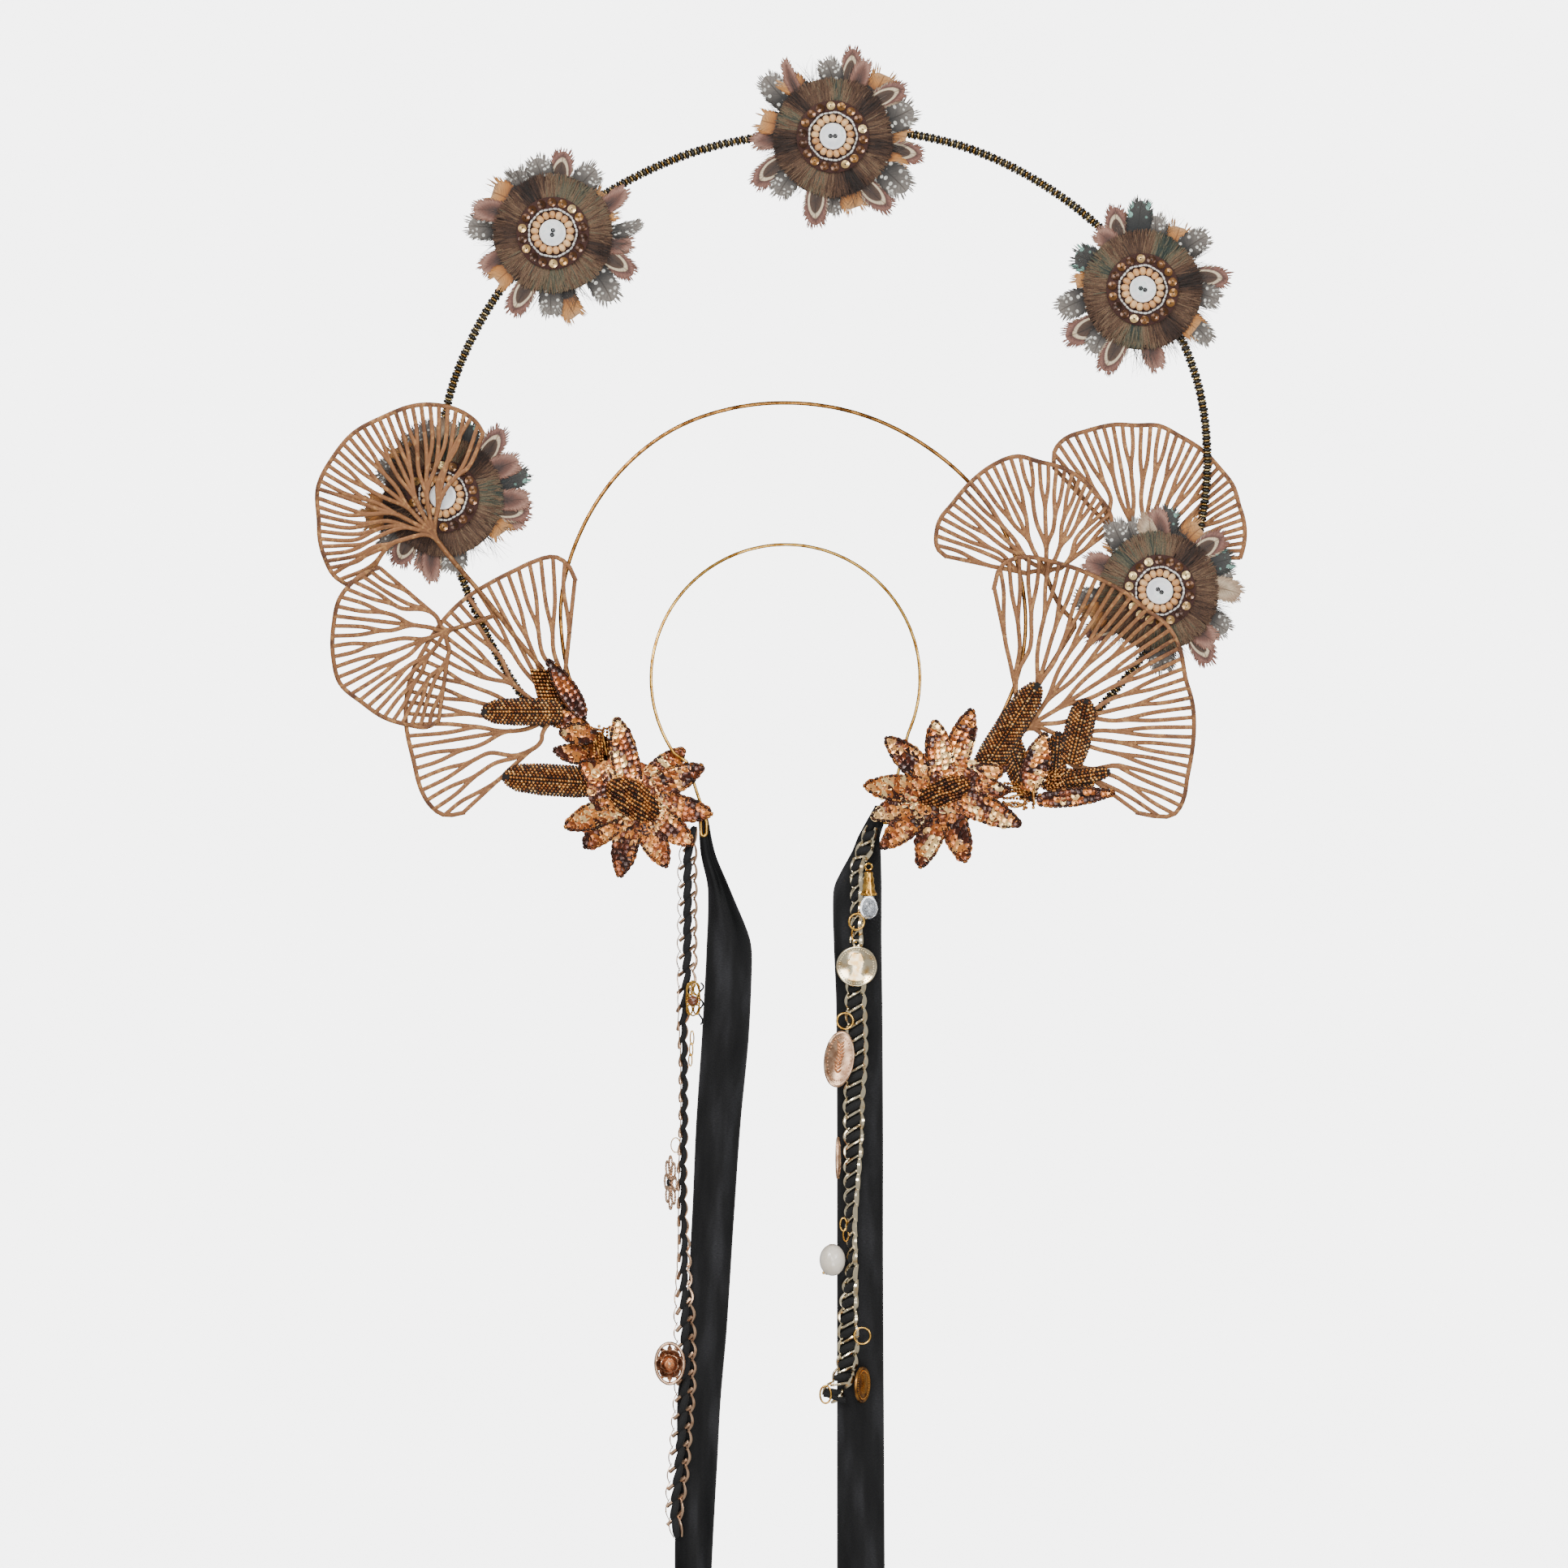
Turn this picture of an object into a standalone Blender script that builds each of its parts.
"""Halo crown with feather flowers, pierced fan leaves, sequin flowers, ribbons and charm chains.

Metres, +Z up, the front of the crown faces -Y. The origin is the underside of the top of the headband.
Depths are written as a forward distance: how far a piece lies in front of the plane of the outer hoop.
"""

import math
import random
from typing import NamedTuple

import bmesh
import bpy
from mathutils import Matrix, Vector

MM = 0.001

# Clearance between pieces that touch
SEAT_GAP = 0.3 * MM

# Meshes are welded within this distance, and smooth below this angle between faces
WELD = 0.001 * MM
SHARP_ANGLE = math.radians(40.0)

# Outer hoop
HALO_RADIUS = 192.5 * MM
HALO_TUBE = 5.0 * MM
HALO_CENTRE_X = 19.0 * MM
HALO_CENTRE_Z = 16.3 * MM

# Inner ring
RING_RADIUS = 115.2 * MM
RING_WIRE = 2.0 * MM
RING_CENTRE_X = 2.7 * MM
RING_CENTRE_DROP = 43.9 * MM

# Headband and the hairpin at each of its ends
HEADBAND_RADIUS = 66.0 * MM
HEADBAND_WIRE = 1.6 * MM
HEADBAND_LEFT_DEG = 214.0
HEADBAND_RIGHT_DEG = -24.0
HAIRPIN_WIDTH = 2.8 * MM
HAIRPIN_LENGTH = 7.0 * MM
HAIRPIN_ROUNDING = 0.7

# Between which angles, in degrees, the headband comes forward on its left and right
LEFT_RISE = (100.0, 198.0)
RIGHT_RISE = (60.0, -24.0)

# Where the headband passes back between two petals of the left flower
NOTCH_REACH = 32.0 * MM
NOTCH_DEG = 35.2
NOTCH_SLANT_DEG = 0.6

# Feather flowers
FEATHER_DEPTH = 4.5 * MM
FEATHER_EDGE = 1.4 * MM
FEATHER_LOCKS = 12
LOCK_SAMPLES = 3
LOCK_NOTCH = 0.80
SHORTEST_LOCK = 0.90
BACK_SHARE = 0.97
MEDALLION_RADIUS = 17.5 * MM
MEDALLION_THICKNESS = 1.5 * MM
BEAD_RING_RADIUS = 8.6 * MM
WOODEN_BEAD = 3.5 * MM
BUTTON_RADIUS = 6.3 * MM
BUTTON_THICKNESS = 2.0 * MM
BUTTON_HOLE = 0.9 * MM
BUTTON_HOLE_PITCH = 2.6 * MM
BUTTON_HOLE_DEG = 60.0

# Pierced leaves
LEAF_THICKNESS = 1.2 * MM
LEAF_VEIN = 2.0 * MM
LEAF_RIM = 2.0 * MM
LEAF_STEM = 2.2 * MM
SMALLEST_GAP = 1.0 * MM
SHORTEST_GAP = 0.10
VEIN_COUNT = 15
RIM_COUNT = 19

# Where the outline of a vein is drawn, and how the veins part. Columns: parts, share of the way to the rim
VEIN_SHARES = (0.05, 0.14, 0.30, 0.48, 0.66, 0.86)
BRANCHING = ((4, 0.0), (2, 0.34), (2, 0.63))
TRUNK_SHARE = 0.14
OUTER_EARLIER = 0.12
BRANCH_VARIATION = 0.05
LEAST_BRANCH = 0.10
TANGENT_STEP = 0.03
SEARCH_STEP = 0.01

# Beadwork, sequin work and cloth
BEADWORK_LAYER = 1.7 * MM
SEQUIN_THICKNESS = 2.6 * MM
PETAL_WIDTH = 12.0 * MM
PETAL_ROOM = 0.86
WIDEST_PARTING = 1.2
DEEPEST_VALLEY = 0.60
FLOWER_CORE_RADIUS = 15.0 * MM
CENTRE_THICKNESS = 2.0 * MM
RIBBON_WIDTH = 25.0 * MM
RIBBON_THICKNESS = 1.0 * MM
LEFT_RIBBON_DROP = 384.0 * MM
RIGHT_RIBBON_DROP = 382.0 * MM
LEFT_CHAIN_WIDTH = 11.6 * MM
RIGHT_CHAIN_WIDTH = 11.2 * MM
CHAIN_THICKNESS = 2.4 * MM

# Half width along one side of a petal. Columns: share of its length, share of its half width
PETAL_SIDE = ((0.62, 1.0), (0.84, 0.66))

# Charms
CHARM_GAP = 0.6 * MM
CHARM_THICKNESS = 1.4 * MM
JUMP_RING_DIAMETER = 9.0 * MM
JUMP_RING_WIRE = 1.1 * MM
COIN_LOOP = 4.4 * MM
CAP_LOOP = 5.4 * MM
LOOP_OVERLAP = 0.8 * MM
COIN_DIAMETER = 20.0 * MM
END_COIN_DIAMETER = 18.0 * MM
COIN_THICKNESS = 1.5 * MM
COIN_RELIEF = 0.4 * MM
OVAL_RELIEF = 0.5 * MM
ROSE_RELIEF = 1.2 * MM
PEARL_WIDTH = 13.0 * MM
PEARL_HEIGHT = 15.6 * MM
CAP_HEIGHT = 11.6 * MM
CAP_RADIUS = 3.8 * MM
CRYSTAL_HEIGHT = 11.2 * MM
CRYSTAL_RADIUS = 4.7 * MM
CRYSTAL_FACETS = 8
FILIGREE_DROP_WIDTH = 7.6 * MM
FILIGREE_DROP_HEIGHT = 18.4 * MM
STONE_RADIUS = 2.6 * MM
STONE_HEIGHT = 1.8 * MM
STONE_TABLE = 0.55
STONE_DROP = 1.0 * MM
FILIGREE_FLOWER_DIAMETER = 27.0 * MM
FILIGREE_FLOWER_TURN_DEG = 76.0
FILIGREE_LOBES = 6
LOBE_DEPTH = 0.14
FILIGREE_HOLE_REACH = 8.2 * MM
FILIGREE_HOLE = 2.2 * MM
ROSE_WIDTH = 15.2 * MM
ROSE_HEIGHT = 22.0 * MM
ROSE_TURN_DEG = -6.0
OVAL_WIDTH = 15.4 * MM
OVAL_HEIGHT = 28.0 * MM
OVAL_TURN_DEG = 16.0
OVAL_LEAN_DEG = 8.0
EDGE_CHARM_WIDTH = 9.0 * MM
EDGE_CHARM_HEIGHT = 21.0 * MM
EDGE_CHARM_TURN_DEG = 80.0
END_COIN_TURN_DEG = 66.0
END_COIN_REACH = 0.47

# Where each charm hangs on its chain: how far down, how far sideways from the middle of the chain
FILIGREE_DROP_PLACE = (83.6 * MM, 4.2 * MM)
FILIGREE_FLOWER_DROP = 174.0 * MM
ROSE_PLACE = (262.6 * MM, -7.6 * MM)
CRYSTAL_PLACE = (33.0 * MM, 5.8 * MM)
COIN_RING_PLACE = (46.0 * MM, 0.0)
COIN_PLACE = (68.0 * MM, 0.0)
MEDALLION_RING_PLACE = (94.8 * MM, -5.6 * MM)
OVAL_PLACE = (113.4 * MM, -9.0 * MM)
EDGE_CHARM_PLACE = (162.0 * MM, -7.6 * MM)
PEARL_PLACE = (212.0 * MM, -9.9 * MM)
END_COIN_PLACE = (273.0 * MM, 11.0 * MM)

# Outlines of the turned charms. Columns: share of the radius, share of the height from the top
CAP_PROFILE = ((0.0, 0.0), (0.72, 0.0), (0.74, 0.45), (1.0, 1.0), (0.0, 1.0))
CRYSTAL_PROFILE = ((0.0, 0.0), (0.55, 0.0), (0.82, 0.28), (1.0, 0.60), (0.72, 0.86), (0.30, 1.0), (0.0, 1.0))

# Outline of the raised head on the coin. Columns: x and z as shares of the coin's radius
HEAD_SHAPE = (
    (0.0, -0.66), (0.44, -0.58), (0.18, -0.28), (0.12, -0.10), (0.26, 0.02), (0.34, 0.22), (0.24, 0.44),
    (0.02, 0.50), (-0.16, 0.34), (-0.20, 0.12), (-0.12, -0.06), (-0.26, -0.20), (-0.42, -0.55),
)

# How finely the long pieces are drawn
HALO_SEGMENTS = 36
RING_SEGMENTS = 26
HEADBAND_SEGMENTS = 25
CHAIN_ROWS = 28
SEAT_ROWS = 21
SEAT_PARTS = 17
RIBBON_COLUMNS = 3
DISC_STEPS = 16
MEDALLION_STEPS = 14
BUST_STEPS = 18
CAP_STEPS = 12
LOOP_STEPS = 12
RING_STEPS = 16
WIRE_SIDES = 5
HOLE_SIDES = 6

# Layers from the hoop forward, each worked out from what lies behind it
FEATHER_BACK = HALO_TUBE / 2 + SEAT_GAP
BEAD_SEAT = FEATHER_BACK + FEATHER_DEPTH + MEDALLION_THICKNESS + 2 * SEAT_GAP
LEAF_LAYER = HALO_TUBE / 2 + SEAT_GAP + LEAF_THICKNESS / 2
FRONT_LEAF_LAYER = LEAF_LAYER + LEAF_THICKNESS + SEAT_GAP
BACK_LEAF_LAYER = -LEAF_LAYER
TOP_LEAF_LAYER = BEAD_SEAT + WOODEN_BEAD + SEAT_GAP + LEAF_THICKNESS / 2
CROSSED_STEM_LAYER = LEAF_LAYER - LEAF_THICKNESS - SEAT_GAP
RING_LAYER = LEAF_LAYER - LEAF_THICKNESS / 2 - SEAT_GAP - RING_WIRE / 2
BEADWORK_BACK = FRONT_LEAF_LAYER + LEAF_THICKNESS / 2 + SEAT_GAP
SECOND_BACK = BEADWORK_BACK + 2 * BEADWORK_LAYER + 2 * SEAT_GAP
THIRD_BACK = SECOND_BACK + BEADWORK_LAYER + SEAT_GAP
RIBBON_LAYER = BEADWORK_BACK + RIBBON_THICKNESS / 2
RIBBON_FRONT = RIBBON_LAYER + RIBBON_THICKNESS / 2
HAIRPIN_LAYER = RIBBON_FRONT + SEAT_GAP + HEADBAND_WIRE / 2
BEHIND_FLOWER_LAYER = SECOND_BACK - SEAT_GAP - HEADBAND_WIRE / 2
OVER_PETAL_LAYER = THIRD_BACK + SEQUIN_THICKNESS + SEAT_GAP + HEADBAND_WIRE / 2

# Radius of the outer hoop around its centre. Columns: angle in degrees, share of HALO_RADIUS
HALO_SHAPE = (
    (-40.0, 0.858), (-33.7, 0.867), (-28.6, 0.880), (-23.6, 0.896), (-11.0, 0.935), (0.0, 0.970),
    (8.7, 0.992), (19.5, 1.013), (34.0, 1.020), (46.0, 1.016), (55.7, 1.011), (68.9, 1.004), (78.0, 0.994), (88.0, 0.985),
    (98.7, 0.977), (109.0, 0.982), (120.4, 0.988), (132.0, 0.999), (143.7, 1.006), (152.0, 1.007),
    (165.0, 1.003), (177.0, 0.980), (188.5, 0.946), (199.6, 0.919), (210.6, 0.904), (217.4, 0.898),
)

# Radius of the inner ring around its centre. Columns: angle in degrees, share of RING_RADIUS
RING_SHAPE = (
    (-22.0, 0.962), (-17.0, 0.970), (-6.0, 0.993), (8.7, 1.009), (20.0, 1.015), (31.4, 1.010), (43.0, 1.001),
    (56.0, 0.992), (72.0, 0.990), (90.0, 0.993), (105.0, 1.003), (120.0, 1.014), (136.0, 1.012),
    (155.0, 1.002), (171.0, 0.995), (182.0, 0.978), (188.0, 0.970), (194.0, 0.962),
)


class FeatherFlower(NamedTuple):
    """A flower on the hoop: where it sits, how far it lies inside the hoop and how far its feathers reach."""

    name: str
    hoop_deg: float
    inset: float
    reach: float
    seed: int


FEATHER_FLOWERS = (
    FeatherFlower("flower_top", 88.7, 4.8 * MM, 46.0 * MM, 3),
    FeatherFlower("flower_upper_left", 134.2, 1.2 * MM, 46.0 * MM, 5),
    FeatherFlower("flower_upper_right", 35.0, 5.4 * MM, 46.0 * MM, 7),
    FeatherFlower("flower_left", 177.6, 0.8 * MM, 45.5 * MM, 9),
    FeatherFlower("flower_right", 346.8, 3.7 * MM, 45.0 * MM, 11),
)


class Bend(NamedTuple):
    """A leaf leans forward past a line: the way it faces, how far off it lies and the slope beyond it."""

    toward_deg: float
    start: float
    slope: float


class Leaf(NamedTuple):
    """A fan of veins inside a rim. Places are shares of HALO_RADIUS from the centre of the hoop.

    Least and most bound how far forward it lies. Rise is how much further forward its base lies.
    """

    name: str
    base: tuple
    root_deg: float
    reach: float
    layer: float
    flare: tuple
    seed: int
    rim: tuple
    bends: tuple
    stem: tuple
    least: float = -math.inf
    most: float = math.inf
    rise: float = 0.0


# A rim's columns: angle in degrees around the base, share of the reach
LEAVES = (
    Leaf(
        "leaf_left_upper", (-0.986, -0.074), 122.0, 67.3 * MM, TOP_LEAF_LAYER, (0.35, 0.65), 4,
        ((67, 0.85), (72, 0.91), (80, 0.96), (90, 0.99), (100, 1.0), (114, 0.985), (128, 0.995), (141, 0.975),
         (156, 0.955), (169, 0.885), (180, 0.86), (190, 0.83), (198, 0.80), (205, 0.74)),
        (Bend(225.0, 15.0 * MM, -0.14), Bend(309.0, 4.0 * MM, -0.26)),
        ((-0.951, -0.120), (-0.876, -0.207), (-0.834, -0.259), (-0.789, -0.319), (-0.718, -0.401)),
        least=FRONT_LEAF_LAYER,
    ),
    Leaf(
        "leaf_left_outer", (-0.953, -0.299), 200.0, 60.6 * MM, FRONT_LEAF_LAYER, (0.85, 0.3), 12,
        ((139, 0.76), (147, 0.83), (153, 0.87), (165, 0.93), (177, 0.945), (194, 0.98), (206, 1.0),
         (219, 0.936), (232, 0.90), (245, 0.85), (256, 0.815), (262, 0.74)),
        (Bend(140.0, 12.0 * MM, 0.26),),
        ((-0.892, -0.280), (-0.845, -0.263)),
    ),
    Leaf(
        "leaf_left_lower", (-0.676, -0.536), 150.0, 81.6 * MM, LEAF_LAYER, (0.9, 0.25), 21,
        ((84, 0.87), (87, 0.95), (92, 1.0), (100, 0.98), (107, 0.955), (117, 0.94), (128, 0.94), (139, 0.935),
         (151, 0.93), (163, 0.94), (179, 0.93), (194, 0.912), (206, 0.93), (213, 0.927), (219, 0.89),
         (223, 0.80)),
        (),
        (),
        rise=FRONT_LEAF_LAYER - LEAF_LAYER,
    ),
    Leaf(
        "leaf_right_inner", (0.570, -0.166), 102.0, 61.6 * MM, LEAF_LAYER, (0.9, 0.25), 33,
        ((37, 0.62), (42, 0.70), (51, 0.75), (61, 0.784), (73, 0.85), (83, 0.89), (94, 0.93), (104, 1.0),
         (116, 0.998), (129, 0.976), (142, 0.96), (151, 0.974), (158, 0.955), (165, 0.907), (168, 0.83)),
        (Bend(15.0, 18.0 * MM, -0.25),),
        ((0.585, -0.205), (0.604, -0.241), (0.645, -0.286), (0.608, -0.344), (0.570, -0.405),
         (0.548, -0.432)),
    ),
    Leaf(
        "leaf_right_upper", (0.805, -0.114), 70.0, 69.0 * MM, BACK_LEAF_LAYER, (0.9, 0.25), 41,
        ((0, 0.73), (9, 0.77), (19, 0.80), (28, 0.816), (37, 0.852), (48, 0.867), (58, 0.894), (71, 0.92),
         (81, 0.957), (91, 0.948), (100, 0.968), (112, 0.98), (121, 1.0), (128, 0.97), (133, 0.88)),
        (Bend(228.0, 0.0, 0.125),),
        ((0.728, -0.199), (0.654, -0.276)),
        most=CROSSED_STEM_LAYER,
    ),
    Leaf(
        "leaf_right_lower", (0.512, -0.556), 40.0, 86.6 * MM, FRONT_LEAF_LAYER, (0.9, 0.25), 52,
        ((-36, 0.80), (-33, 0.90), (-30, 0.97), (-24, 0.985), (-16, 0.962), (-7, 0.958), (9, 0.963),
         (18, 0.957), (28, 0.992), (36, 1.0), (45, 0.969), (54, 0.963), (63, 0.956), (72, 0.961), (81, 0.969),
         (89, 0.984), (95, 0.969), (99, 0.926), (102, 0.83)),
        (Bend(40.0, 46.0 * MM, 0.17),),
        (),
    ),
)
BEND_SOFTNESS = 8.0 * MM
RISE_REACH = 20.0 * MM


class Petals(NamedTuple):
    """A sequin flower: its centre, its petals and the oval of beads in its middle."""

    name: str
    centre: tuple
    back: float
    petals: tuple
    oval: tuple
    oval_deg: float


# A petal's columns: direction in degrees, length
SEQUIN_FLOWERS = (
    Petals(
        "left_sequin_flower", (-0.487, -0.733), THIRD_BACK,
        ((-63.7, 37.0 * MM), (-37.5, 36.8 * MM), (-10.5, 39.5 * MM), (25.5, 38.1 * MM), (45.0, 35.1 * MM),
         (101.3, 40.8 * MM), (145.0, 32.0 * MM), (202.0, 36.2 * MM), (224.5, 33.7 * MM), (260.0, 38.6 * MM)),
        (31.6 * MM, 18.4 * MM), -35.0,
    ),
    Petals(
        "right_sequin_flower", (0.306, -0.712), SECOND_BACK,
        ((-73.4, 36.3 * MM), (-23.8, 40.7 * MM), (2.3, 30.0 * MM), (21.5, 30.5 * MM), (71.4, 42.6 * MM),
         (97.9, 35.1 * MM), (137.5, 39.1 * MM), (176.0, 39.7 * MM), (199.8, 37.8 * MM), (221.9, 41.9 * MM),
         (252.3, 39.5 * MM)),
        (29.2 * MM, 14.0 * MM), 20.0,
    ),
)

# Half width along a blade. Columns: share of its length, share of its half width
FINGER_SHAPE = ((0.0, 0.80), (0.25, 1.0), (0.6, 1.0), (0.85, 0.86), (0.96, 0.50), (1.0, 0.12))
POINTED_SHAPE = ((0.0, 0.55), (0.2, 0.92), (0.45, 1.0), (0.7, 0.80), (0.9, 0.36), (1.0, 0.06))


class Blade(NamedTuple):
    """A long piece of beadwork or sequin work from its root to its tip."""

    name: str
    root: tuple
    tip: tuple
    width: float
    shape: tuple
    back: float
    layers: int


BLADES = (
    Blade("left_finger_upper", (-0.668, -0.509), (-0.876, -0.509), 13.4 * MM, FINGER_SHAPE, BEADWORK_BACK, 2),
    Blade("left_finger_lower", (-0.570, -0.692), (-0.822, -0.675), 15.6 * MM, FINGER_SHAPE, BEADWORK_BACK, 2),
    Blade("left_comb", (-0.668, -0.446), (-0.752, -0.413), 7.6 * MM, FINGER_SHAPE, BEADWORK_BACK, 1),
    Blade("left_sepal", (-0.616, -0.516), (-0.705, -0.376), 9.4 * MM, POINTED_SHAPE, SECOND_BACK, 1),
    Blade("left_bud", (-0.589, -0.569), (-0.676, -0.562), 10.4 * MM, POINTED_SHAPE, SECOND_BACK, 1),
    Blade("left_fringe", (-0.556, -0.660), (-0.562, -0.530), 11.0 * MM, FINGER_SHAPE, SECOND_BACK, 1),
    Blade("right_finger_inner", (0.398, -0.669), (0.548, -0.436), 15.0 * MM, FINGER_SHAPE, BEADWORK_BACK, 2),
    Blade("right_finger_outer", (0.629, -0.642), (0.670, -0.477), 14.2 * MM, FINGER_SHAPE, BEADWORK_BACK, 2),
    Blade("right_finger_small", (0.616, -0.681), (0.730, -0.662), 7.2 * MM, FINGER_SHAPE, BEADWORK_BACK, 2),
    Blade("right_petal", (0.545, -0.735), (0.743, -0.716), 8.8 * MM, POINTED_SHAPE, BEADWORK_BACK, 2),
    Blade("right_bud", (0.521, -0.706), (0.564, -0.563), 13.4 * MM, POINTED_SHAPE, SECOND_BACK, 1),
    Blade("right_fringe", (0.455, -0.722), (0.528, -0.726), 13.0 * MM, FINGER_SHAPE, BEADWORK_BACK, 2),
)

# Where the hairpins hang, as shares of HALO_RADIUS from the centre of the hoop
LEFT_HAIRPIN = (-0.308, -0.826)
RIGHT_HAIRPIN = (0.158, -0.793)

# Edges of a ribbon. Columns: share of its drop, left edge and right edge as shares of RIBBON_WIDTH
LEFT_RIBBON = (
    (0.0, -0.104, 0.088), (0.045, -0.056, 0.232), (0.083, 0.072, 0.472), (0.103, 0.088, 0.600),
    (0.143, 0.072, 0.856), (0.162, 0.056, 0.936), (0.188, 0.040, 0.952), (0.281, -0.040, 0.888),
    (0.391, -0.152, 0.728), (0.510, -0.232, 0.600), (0.654, -0.360, 0.456), (0.745, -0.520, 0.336),
    (0.823, -0.520, 0.272), (0.927, -0.568, 0.184), (1.0, -0.568, 0.136),
)
RIGHT_RIBBON = (
    (0.0, -0.216, 0.104), (0.040, -0.552, -0.120), (0.058, -0.664, -0.104), (0.100, -1.000, -0.088),
    (0.119, -1.048, -0.088), (0.178, -1.032, -0.088), (0.258, -0.984, -0.072), (0.414, -0.968, -0.056),
    (0.580, -0.968, -0.056), (0.790, -0.968, -0.040), (1.0, -0.968, -0.024),
)


class ChainStep(NamedTuple):
    """One row of a chain's route: how far down and sideways, its share of width and how far it turns."""

    drop: float
    side: float
    width: float
    turn: float


# Routes of the chains, from where each one starts under its flower
LEFT_CHAIN_START = (-5.4 * MM, 4.0 * MM)
LEFT_CHAIN = (
    ChainStep(0.0, 0.0, 0.35, 0.0), ChainStep(8.1 * MM, -1.5 * MM, 0.7, 0.0),
    ChainStep(16.1 * MM, -2.5 * MM, 0.86, 0.0), ChainStep(24.1 * MM, -2.5 * MM, 0.9, 0.0),
    ChainStep(36.1 * MM, -2.5 * MM, 0.9, 0.0), ChainStep(60.1 * MM, -2.7 * MM, 0.92, 0.0),
    ChainStep(74.1 * MM, -3.1 * MM, 1.0, -35.0), ChainStep(83.7 * MM, -3.9 * MM, 1.0, -50.0),
    ChainStep(96.1 * MM, -4.8 * MM, 1.0, -68.0), ChainStep(112.1 * MM, -4.5 * MM, 1.0, -73.0),
    ChainStep(146.1 * MM, -4.5 * MM, 1.0, -73.0), ChainStep(166.1 * MM, -5.1 * MM, 1.0, -70.0),
    ChainStep(186.1 * MM, -5.1 * MM, 1.0, -68.0), ChainStep(206.1 * MM, -4.5 * MM, 1.0, -58.0),
    ChainStep(226.1 * MM, -4.5 * MM, 1.0, -40.0), ChainStep(246.1 * MM, -3.9 * MM, 1.0, -10.0),
    ChainStep(266.1 * MM, -3.5 * MM, 1.0, -22.0), ChainStep(276.1 * MM, -3.9 * MM, 1.0, -15.0),
    ChainStep(296.1 * MM, -5.5 * MM, 1.0, -12.0), ChainStep(316.1 * MM, -7.1 * MM, 1.0, -15.0),
    ChainStep(332.1 * MM, -8.7 * MM, 0.85, 0.0), ChainStep(342.1 * MM, -8.7 * MM, 0.65, 0.0),
    ChainStep(348.1 * MM, -6.7 * MM, 0.4, 0.0),
)
RIGHT_CHAIN_START = (-7.4 * MM, -2.4 * MM)
RIGHT_CHAIN = (
    ChainStep(0.0, 0.0, 0.60, 0.0), ChainStep(10.0 * MM, -2.8 * MM, 0.80, 0.0),
    ChainStep(16.8 * MM, -6.4 * MM, 0.70, 30.0), ChainStep(34.4 * MM, -7.2 * MM, 0.70, 40.0),
    ChainStep(52.0 * MM, -7.2 * MM, 0.70, 40.0), ChainStep(68.0 * MM, -7.2 * MM, 0.80, 0.0),
    ChainStep(84.0 * MM, -7.6 * MM, 1.0, 0.0), ChainStep(112.0 * MM, -6.8 * MM, 1.0, 0.0),
    ChainStep(133.6 * MM, -8.4 * MM, 1.0, 0.0), ChainStep(150.4 * MM, -8.4 * MM, 1.0, 20.0),
    ChainStep(164.4 * MM, -9.0 * MM, 1.0, 38.0), ChainStep(178.4 * MM, -9.6 * MM, 1.0, 48.0),
    ChainStep(192.4 * MM, -9.8 * MM, 1.0, 62.0), ChainStep(212.0 * MM, -9.2 * MM, 1.0, 68.0),
    ChainStep(227.6 * MM, -10.4 * MM, 1.0, 45.0), ChainStep(240.0 * MM, -11.2 * MM, 1.0, 25.0),
    ChainStep(255.2 * MM, -11.2 * MM, 1.0, 0.0), ChainStep(267.2 * MM, -12.8 * MM, 1.0, 0.0),
    ChainStep(275.0 * MM, -16.8 * MM, 1.0, 0.0), ChainStep(281.0 * MM, -22.6 * MM, 0.80, 0.0),
)


def clear_scene():
    """Remove what the file opened with."""
    for item in list(bpy.data.objects):
        bpy.data.objects.remove(item, do_unlink=True)


def new_collection(name):
    """Return a collection linked to the scene."""
    made = bpy.data.collections.new(name)
    bpy.context.scene.collection.children.link(made)
    return made


def material(name, colour, metallic, roughness):
    """Return a Principled BSDF material."""
    made = bpy.data.materials.new(name)
    made.use_nodes = True
    shader = made.node_tree.nodes["Principled BSDF"]
    shader.inputs["Base Color"].default_value = (*colour, 1.0)
    shader.inputs["Metallic"].default_value = metallic
    shader.inputs["Roughness"].default_value = roughness
    return made


def halo_spot(place):
    """Return x and z of a place given as shares of HALO_RADIUS from the centre of the hoop."""
    return Vector((HALO_CENTRE_X + place[0] * HALO_RADIUS, HALO_CENTRE_Z + place[1] * HALO_RADIUS))


def read_rows(rows, at, column=1):
    """Read a smooth value from rows that are sorted by their first column."""
    if at <= rows[0][0]:
        return rows[0][column]
    for index in range(len(rows) - 1):
        start, end = rows[index], rows[index + 1]
        if at <= end[0]:
            span = end[0] - start[0]
            share = (at - start[0]) / span
            before = rows[max(index - 1, 0)]
            after = rows[min(index + 2, len(rows) - 1)]
            slope_in = (end[column] - before[column]) / (end[0] - before[0]) * span
            slope_out = (after[column] - start[column]) / (after[0] - start[0]) * span
            square, cube = share * share, share ** 3
            return (
                (2 * cube - 3 * square + 1) * start[column]
                + (cube - 2 * square + share) * slope_in
                + (3 * square - 2 * cube) * end[column]
                + (cube - square) * slope_out
            )
    return rows[-1][column]


def ramp(value, softness):
    """Return zero below zero and the value above it, with a soft corner."""
    return (math.hypot(value, softness) + value) / 2 - softness * 0.12


def smooth_share(value):
    """Ease a share from 0 to 1."""
    held = min(max(value, 0.0), 1.0)
    return held * held * (3 - 2 * held)


def around(centre, radius, degrees):
    """Return the x and z at an angle around a centre."""
    angle = math.radians(degrees)
    return Vector((centre[0] + radius * math.cos(angle), centre[1] + radius * math.sin(angle)))


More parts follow.
